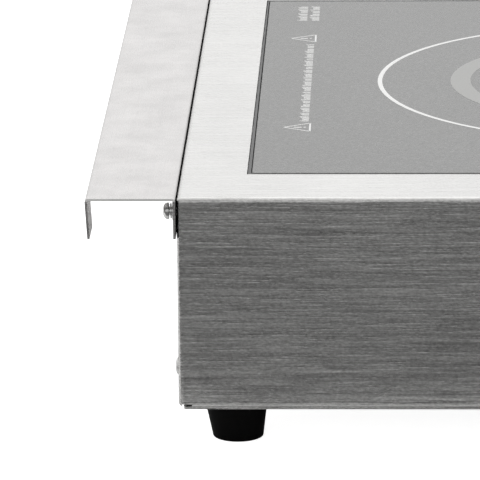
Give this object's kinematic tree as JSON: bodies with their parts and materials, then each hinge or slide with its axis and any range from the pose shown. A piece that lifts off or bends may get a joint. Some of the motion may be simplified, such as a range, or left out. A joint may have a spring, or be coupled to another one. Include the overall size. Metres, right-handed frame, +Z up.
{
  "type": "induction hob",
  "caption": "Table-top commercial induction hob: folded stainless housing, flush square ceramic glass, sloped control panel, rear air channel and rubber feet.",
  "frame": {"origin": "on the table, under the middle of the object's box", "axes": "+Z up; +Y towards the rear channel, so the controls face -Y; +X to the right of a cook facing the controls"},
  "size_m": [0.327, 0.425, 0.086],
  "materials": {
    "steel_sheet": "brushed stainless steel, grain along the long edges",
    "bright_steel": "bright plated steel",
    "glass_ceramic": "opaque grey ceramic glass with a fine speckle, satin gloss",
    "silicone": "dark grey silicone joint",
    "rubber": "matt black rubber",
    "copper_litz": "enamelled copper strands",
    "ferrite": "matt dark sintered ferrite",
    "mica": "pressed mica board",
    "carrier_plastic": "heat resistant moulded plastic",
    "circuit_board": "solder-masked board",
    "aluminium": "plain aluminium",
    "black_plastic": "fine-grained moulded plastic",
    "capacitor_plastic": "moulded box, slight gloss",
    "overlay_film": "printed polyester film",
    "smoked_window": "smoked window",
    "grey_plastic": "moulded plastic",
    "wire_insulation": "flexible insulation"
  },
  "bodies": {
    "housing": {"top_cover": "steel_sheet", "front_panel": "steel_sheet", "rear_panel": "steel_sheet", "base_plate": "steel_sheet", "rear_channel": "steel_sheet", "glass_frame": "steel_sheet", "channel_screw_left": "bright_steel", "channel_screw_right": "bright_steel", "rear_screw_left": "bright_steel", "rear_screw_right": "bright_steel", "foot_screw_front_left": "bright_steel", "foot_screw_front_right": "bright_steel", "foot_screw_rear_left": "bright_steel", "foot_screw_rear_right": "bright_steel", "glass_plate": "glass_ceramic", "glass_seal": "silicone", "foot_front_left": "rubber", "foot_front_right": "rubber", "foot_rear_left": "rubber", "foot_rear_right": "rubber", "induction_coil": "copper_litz", "filter_choke": "copper_litz", "ferrite_bar_1": "ferrite", "ferrite_bar_2": "ferrite", "ferrite_bar_3": "ferrite", "ferrite_bar_4": "ferrite", "ferrite_bar_5": "ferrite", "ferrite_bar_6": "ferrite", "mica_sheet": "mica", "coil_carrier": "carrier_plastic", "power_board": "circuit_board", "control_board": "circuit_board", "coil_post_1": "aluminium", "coil_post_2": "aluminium", "coil_post_3": "aluminium", "temperature_sensor": "aluminium", "heat_sink": "aluminium", "igbt": "black_plastic", "bridge_rectifier": "black_plastic", "fan_left_frame": "black_plastic", "fan_right_frame": "black_plastic", "display_module": "black_plastic", "cable_gland": "black_plastic", "gland_nut": "black_plastic", "filter_capacitor": "capacitor_plastic", "resonance_capacitor": "capacitor_plastic", "control_overlay": "overlay_film", "display_window": "smoked_window", "terminal_block": "grey_plastic", "encoder_body": "grey_plastic", "control_ribbon": "grey_plastic", "mains_lead": "wire_insulation"},
    "fan_left": {"fan_left_rotor": "black_plastic"},
    "fan_right": {"fan_right_rotor": "black_plastic"},
    "power_key": {"power_button": "bright_steel"},
    "mode_key": {"mode_button": "bright_steel"},
    "timer_key": {"timer_button": "bright_steel"},
    "power_dial": {"control_knob": "black_plastic", "encoder_shaft": "bright_steel"}
  },
  "joints": [
    {"name": "fan_left_spin", "type": "hinge", "parent": "housing", "child": "fan_left", "pos_m": [-0.06, -0.125, 0.027], "axis": [0, 0, 1], "continuous": true},
    {"name": "fan_right_spin", "type": "hinge", "parent": "housing", "child": "fan_right", "pos_m": [0.06, -0.125, 0.027], "axis": [0, 0, 1], "continuous": true},
    {"name": "power_press", "type": "slide", "parent": "housing", "child": "power_key", "axis": [0, 0.421, -0.9071], "range_m": [0, 0.001], "stiffness_N_per_m": 800},
    {"name": "mode_press", "type": "slide", "parent": "housing", "child": "mode_key", "axis": [0, 0.421, -0.9071], "range_m": [0, 0.001], "stiffness_N_per_m": 800},
    {"name": "timer_press", "type": "slide", "parent": "housing", "child": "timer_key", "axis": [0, 0.421, -0.9071], "range_m": [0, 0.001], "stiffness_N_per_m": 800},
    {"name": "dial_turn", "type": "hinge", "parent": "housing", "child": "power_dial", "pos_m": [0.1, -0.17451, 0.06163], "axis": [0, -0.421, 0.9071], "continuous": true}
  ]
}
